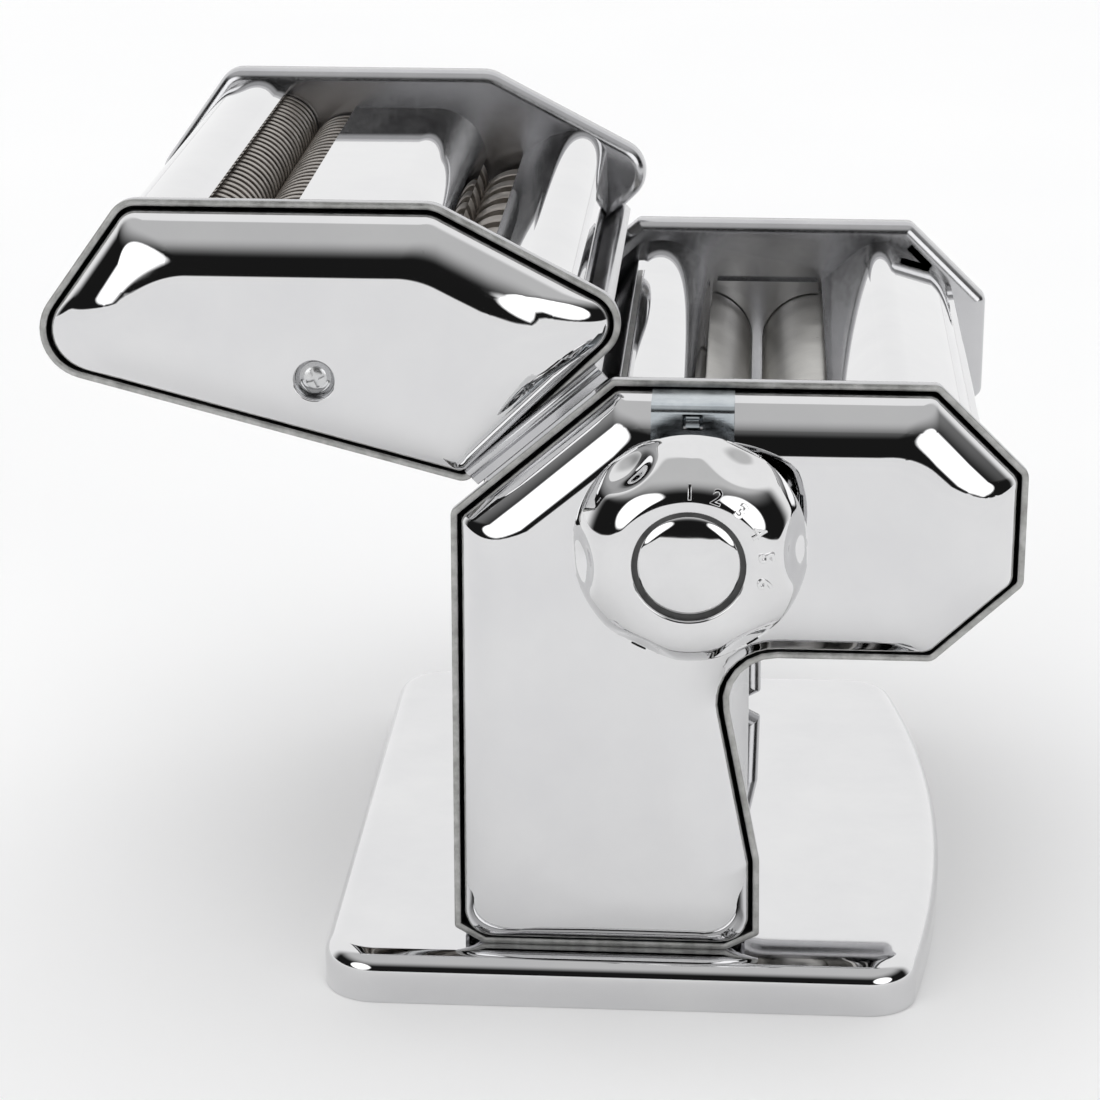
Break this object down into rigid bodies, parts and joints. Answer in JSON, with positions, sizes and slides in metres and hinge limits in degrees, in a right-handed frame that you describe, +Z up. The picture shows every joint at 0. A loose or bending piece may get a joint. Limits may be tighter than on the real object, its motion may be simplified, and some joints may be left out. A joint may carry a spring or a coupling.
{
  "type": "pasta roller machine",
  "caption": "Hand-cranked table-top dough roller with a gap-setting knob, a D-shaped base and a slide-on noodle cutter head.",
  "frame": {"origin": "centre of the base plate's rim, on the table", "axes": "+X from the cutter side to the feed side, +Y from the knob side to the drive side, +Z up"},
  "size_m": [0.2182, 0.2785, 0.1878],
  "materials": {
    "chrome_sheet": "mirror chrome plate on pressed steel",
    "satin_steel": "satin turned steel",
    "plated_steel": "bright zinc-plated steel",
    "gear_steel": "machined steel",
    "bush_bronze": "sintered bronze",
    "zinc_plate": "bluish zinc-plated steel",
    "foot_rubber": "matte rubber",
    "grip_plastic": "satin moulded plastic"
  },
  "bodies": {
    "stand": {"base_plate": "chrome_sheet", "rubber_feet": "foot_rubber", "base_screws": "plated_steel", "base_nuts": "plated_steel", "knob_side_frame": "chrome_sheet", "drive_side_frame": "chrome_sheet", "knob_side_cover": "chrome_sheet", "drive_side_cover": "chrome_sheet", "tie_rods": "plated_steel", "tie_rod_nuts": "plated_steel", "left_dough_guard": "chrome_sheet", "right_dough_guard": "chrome_sheet", "end_cheeks": "chrome_sheet", "scrapers": "satin_steel", "dough_slide": "chrome_sheet", "back_panel": "chrome_sheet", "cutter_track": "chrome_sheet", "index_plate": "zinc_plate", "fixed_roller_bushes": "bush_bronze", "shaft_bushes": "bush_bronze", "gear_bracket": "plated_steel"},
    "drive_roller": {"fixed_roller": "satin_steel", "fixed_roller_gear": "gear_steel"},
    "crank": {"crank_arm": "chrome_sheet"},
    "grip": {"crank_grip": "grip_plastic"},
    "setting_shaft": {"eccentric_shaft": "plated_steel", "knob_nut": "plated_steel", "knob_spring": "plated_steel"},
    "knob": {"regulator_knob": "chrome_sheet", "knob_cap": "chrome_sheet", "index_pin": "plated_steel"},
    "slip_bushes": {"roller_bushes": "bush_bronze"},
    "moving_roller": {"adjustable_roller": "satin_steel", "adjustable_roller_gear": "gear_steel"},
    "cutter": {"cutter_near_frame": "chrome_sheet", "cutter_far_frame": "chrome_sheet", "cutter_near_cover": "chrome_sheet", "cutter_far_cover": "chrome_sheet", "cutter_left_guard": "chrome_sheet", "cutter_middle_guard": "chrome_sheet", "cutter_right_guard": "chrome_sheet", "cutter_rail": "chrome_sheet", "cutter_tie_rods": "plated_steel", "cutter_tie_rod_nuts": "plated_steel", "cutter_bushes": "bush_bronze", "cutter_cover_screws": "plated_steel", "fine_combs": "satin_steel", "wide_combs": "satin_steel"},
    "fine_driven": {"fine_driven_roller": "satin_steel", "fine_driven_gear": "gear_steel"},
    "fine_follower": {"fine_follower_roller": "satin_steel", "fine_follower_gear": "gear_steel"},
    "wide_driven": {"wide_driven_roller": "satin_steel", "wide_driven_gear": "gear_steel"},
    "wide_follower": {"wide_follower_roller": "satin_steel", "wide_follower_gear": "gear_steel"}
  },
  "joints": [
    {"name": "crank_turn", "type": "hinge", "parent": "stand", "child": "drive_roller", "pos_m": [0.0402, 0, 0.1166], "axis": [0, 1, 0], "continuous": true},
    {"name": "crank_pull", "type": "slide", "parent": "drive_roller", "child": "crank", "axis": [0, 1, 0], "range_m": [0, 0.025]},
    {"name": "grip_spin", "type": "hinge", "parent": "crank", "child": "grip", "pos_m": [-0.03028, 0.13, 0.05746], "axis": [0, 1, 0], "continuous": true},
    {"name": "gap_adjust", "type": "hinge", "parent": "stand", "child": "setting_shaft", "pos_m": [0.01135, 0, 0.11756], "axis": [0, -1, 0], "range_deg": [0, 100]},
    {"name": "knob_pull", "type": "slide", "parent": "setting_shaft", "child": "knob", "axis": [0, -1, 0], "range_m": [0, 0.003], "stiffness_N_per_m": 800, "springref_m": -0.003, "deforming": ["knob_spring"]},
    {"name": "bushes_follow", "type": "hinge", "parent": "setting_shaft", "child": "slip_bushes", "pos_m": [0.0102, 0, 0.1166], "axis": [0, -1, 0], "range_deg": [-100, 0]},
    {"name": "moving_roller_turn", "type": "hinge", "parent": "slip_bushes", "child": "moving_roller", "pos_m": [0.0102, 0, 0.1166], "axis": [0, 1, 0], "continuous": true},
    {"name": "cutter_slide", "type": "slide", "parent": "stand", "child": "cutter", "axis": [0, -1, 0], "range_m": [0, 0.165]},
    {"name": "fine_cutter_turn", "type": "hinge", "parent": "cutter", "child": "fine_driven", "pos_m": [-0.1005, 0, 0.17166], "axis": [0, 1, 0], "continuous": true},
    {"name": "fine_follower_turn", "type": "hinge", "parent": "cutter", "child": "fine_follower", "pos_m": [-0.0825, 0, 0.16694], "axis": [0, 1, 0], "continuous": true},
    {"name": "wide_cutter_turn", "type": "hinge", "parent": "cutter", "child": "wide_driven", "pos_m": [-0.0554, 0, 0.15996], "axis": [0, 1, 0], "continuous": true},
    {"name": "wide_follower_turn", "type": "hinge", "parent": "cutter", "child": "wide_follower", "pos_m": [-0.0374, 0, 0.15524], "axis": [0, 1, 0], "continuous": true}
  ],
  "couplings": [
    {"joint": "bushes_follow", "follows": "gap_adjust", "ratio": -1},
    {"joint": "moving_roller_turn", "follows": "crank_turn", "ratio": -1},
    {"joint": "fine_follower_turn", "follows": "fine_cutter_turn", "ratio": -1},
    {"joint": "wide_follower_turn", "follows": "wide_cutter_turn", "ratio": -1}
  ]
}
